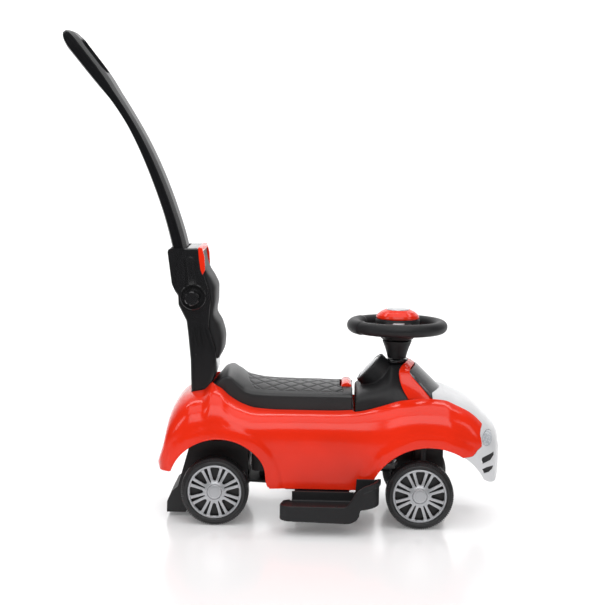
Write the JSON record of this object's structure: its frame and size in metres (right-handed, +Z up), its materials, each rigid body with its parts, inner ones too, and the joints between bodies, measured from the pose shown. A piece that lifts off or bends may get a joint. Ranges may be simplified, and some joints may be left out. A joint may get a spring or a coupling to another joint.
{
  "type": "foot-to-floor ride-on car",
  "caption": "Toddler ride-on car with a steered front axle, lift-up seat over a storage tub, side footrests, backrest and a height-set parent push handle.",
  "frame": {"origin": "on the floor under the middle of the whole car's bounding box", "axes": "+X to the nose, +Y to the driver's left, +Z up"},
  "size_m": [0.7926, 0.374, 0.8656],
  "materials": {
    "backrest_front_shell": "gloss",
    "backrest_pad": "satin",
    "backrest_rear_shell": "gloss",
    "backrest_trim": "gloss",
    "body_shell": "gloss",
    "clamp_knob": "gloss",
    "column_collar": "satin",
    "column_sleeve": "satin",
    "dashboard": "satin",
    "footrest_left": "satin",
    "footrest_right": "satin",
    "front_carrier": "satin",
    "gauge_bezel": "gloss",
    "gauge_dial": "clear gloss",
    "grille_lower_left": "satin",
    "grille_lower_right": "satin",
    "grille_upper_left": "satin",
    "grille_upper_right": "satin",
    "handle": "gloss",
    "headlight_left": "clear gloss",
    "headlight_right": "clear gloss",
    "horn_button_left": "satin",
    "horn_button_right": "satin",
    "hub_cap_front_left": "satin",
    "hub_cap_front_right": "satin",
    "hub_cap_rear_left": "satin",
    "hub_cap_rear_right": "satin",
    "hub_cover": "gloss",
    "hub_disc": "satin",
    "kingpin_left": "polished",
    "kingpin_right": "polished",
    "knuckle_left": "satin",
    "knuckle_right": "satin",
    "lid_catch": "gloss",
    "lid_hinge_pin": "polished",
    "nose_cover": "gloss",
    "rear_axle": "polished",
    "rear_carrier": "satin",
    "rim_front_left": "satin",
    "rim_front_right": "satin",
    "rim_rear_left": "satin",
    "rim_rear_right": "satin",
    "seat_lid": "satin",
    "steering_rod": "polished",
    "steering_wheel": "satin",
    "storage_tub": "satin",
    "stub_axle_left": "polished",
    "stub_axle_right": "polished",
    "tie_plate": "satin",
    "tyre_front_left": "satin",
    "tyre_front_right": "satin",
    "tyre_rear_left": "satin",
    "tyre_rear_right": "satin",
    "undertray": "satin",
    "windshield": "satin",
    "windshield_frame": "gloss"
  },
  "bodies": {
    "car": {"backrest_front_shell": "backrest_front_shell", "backrest_pad": "backrest_pad", "backrest_rear_shell": "backrest_rear_shell", "backrest_trim": "backrest_trim", "body_shell": "body_shell", "column_collar": "column_collar", "dashboard": "dashboard", "footrest_left": "footrest_left", "footrest_right": "footrest_right", "front_carrier": "front_carrier", "gauge_bezel": "gauge_bezel", "gauge_dial": "gauge_dial", "grille_lower_left": "grille_lower_left", "grille_lower_right": "grille_lower_right", "grille_upper_left": "grille_upper_left", "grille_upper_right": "grille_upper_right", "headlight_left": "headlight_left", "headlight_right": "headlight_right", "kingpin_left": "kingpin_left", "kingpin_right": "kingpin_right", "lid_hinge_pin": "lid_hinge_pin", "nose_cover": "nose_cover", "rear_axle": "rear_axle", "rear_carrier": "rear_carrier", "storage_tub": "storage_tub", "undertray": "undertray", "windshield": "windshield", "windshield_frame": "windshield_frame"},
    "seat_lid": {"seat_lid": "seat_lid"},
    "lid_catch": {"lid_catch": "lid_catch"},
    "push_handle": {"handle": "handle"},
    "clamp_knob": {"clamp_knob": "clamp_knob"},
    "steering": {"steering_rod": "steering_rod", "steering_wheel": "steering_wheel", "column_sleeve": "column_sleeve", "hub_cover": "hub_cover", "hub_disc": "hub_disc"},
    "tie_plate": {"tie_plate": "tie_plate"},
    "horn_left": {"horn_button_left": "horn_button_left"},
    "knuckle_left": {"knuckle_left": "knuckle_left", "stub_axle_left": "stub_axle_left"},
    "wheel_front_left": {"tyre_front_left": "tyre_front_left", "rim_front_left": "rim_front_left", "hub_cap_front_left": "hub_cap_front_left"},
    "wheel_rear_left": {"tyre_rear_left": "tyre_rear_left", "rim_rear_left": "rim_rear_left", "hub_cap_rear_left": "hub_cap_rear_left"},
    "horn_right": {"horn_button_right": "horn_button_right"},
    "knuckle_right": {"knuckle_right": "knuckle_right", "stub_axle_right": "stub_axle_right"},
    "wheel_front_right": {"tyre_front_right": "tyre_front_right", "rim_front_right": "rim_front_right", "hub_cap_front_right": "hub_cap_front_right"},
    "wheel_rear_right": {"tyre_rear_right": "tyre_rear_right", "rim_rear_right": "rim_rear_right", "hub_cap_rear_right": "hub_cap_rear_right"}
  },
  "joints": [
    {"name": "seat_lid_hinge", "type": "hinge", "parent": "car", "child": "seat_lid", "pos_m": [-0.09875, 0, 0.247], "axis": [0, -1, 0], "range_deg": [0, 20]},
    {"name": "lid_catch_press", "type": "slide", "parent": "car", "child": "lid_catch", "axis": [0, 0, -1], "range_m": [0, 0.004], "stiffness_N_per_m": 400, "springref_m": -0.003},
    {"name": "handle_height", "type": "slide", "parent": "car", "child": "push_handle", "axis": [-0.2419, 0, 0.9703], "range_m": [0, 0.07]},
    {"name": "clamp_knob_turn", "type": "hinge", "parent": "car", "child": "clamp_knob", "pos_m": [-0.15725, 0, 0.398], "axis": [0, 1, 0], "continuous": true},
    {"name": "steering_turn", "type": "hinge", "parent": "car", "child": "steering", "pos_m": [0.20945, 0, 0.3466], "axis": [0, 0, 1], "range_deg": [-22, 22]},
    {"name": "tie_plate_pivot", "type": "hinge", "parent": "steering", "child": "tie_plate", "pos_m": [0.16745, 0, 0.085], "axis": [0, 0, 1], "range_deg": [-22, 22]},
    {"name": "horn_press_right", "type": "slide", "parent": "steering", "child": "horn_right", "axis": [0, 0, -1], "range_m": [0, 0.003], "stiffness_N_per_m": 150, "springref_m": -0.003},
    {"name": "kingpin_turn_right", "type": "hinge", "parent": "car", "child": "knuckle_right", "pos_m": [0.25125, -0.062, 0.06], "axis": [0, 0, 1], "range_deg": [-22, 22]},
    {"name": "wheel_spin_front_right", "type": "hinge", "parent": "knuckle_right", "child": "wheel_front_right", "pos_m": [0.25125, -0.1035, 0.06], "axis": [0, 1, 0], "continuous": true},
    {"name": "wheel_spin_rear_right", "type": "hinge", "parent": "car", "child": "wheel_rear_right", "pos_m": [-0.11075, -0.1035, 0.06], "axis": [0, 1, 0], "continuous": true},
    {"name": "horn_press_left", "type": "slide", "parent": "steering", "child": "horn_left", "axis": [0, 0, -1], "range_m": [0, 0.003], "stiffness_N_per_m": 150, "springref_m": -0.003},
    {"name": "kingpin_turn_left", "type": "hinge", "parent": "car", "child": "knuckle_left", "pos_m": [0.25125, 0.062, 0.06], "axis": [0, 0, 1], "range_deg": [-22, 22]},
    {"name": "wheel_spin_front_left", "type": "hinge", "parent": "knuckle_left", "child": "wheel_front_left", "pos_m": [0.25125, 0.1035, 0.06], "axis": [0, 1, 0], "continuous": true},
    {"name": "wheel_spin_rear_left", "type": "hinge", "parent": "car", "child": "wheel_rear_left", "pos_m": [-0.11075, 0.1035, 0.06], "axis": [0, 1, 0], "continuous": true}
  ],
  "couplings": [
    {"joint": "tie_plate_pivot", "follows": "steering_turn", "ratio": -1},
    {"joint": "kingpin_turn_right", "follows": "steering_turn", "ratio": 1},
    {"joint": "kingpin_turn_left", "follows": "steering_turn", "ratio": 1}
  ]
}
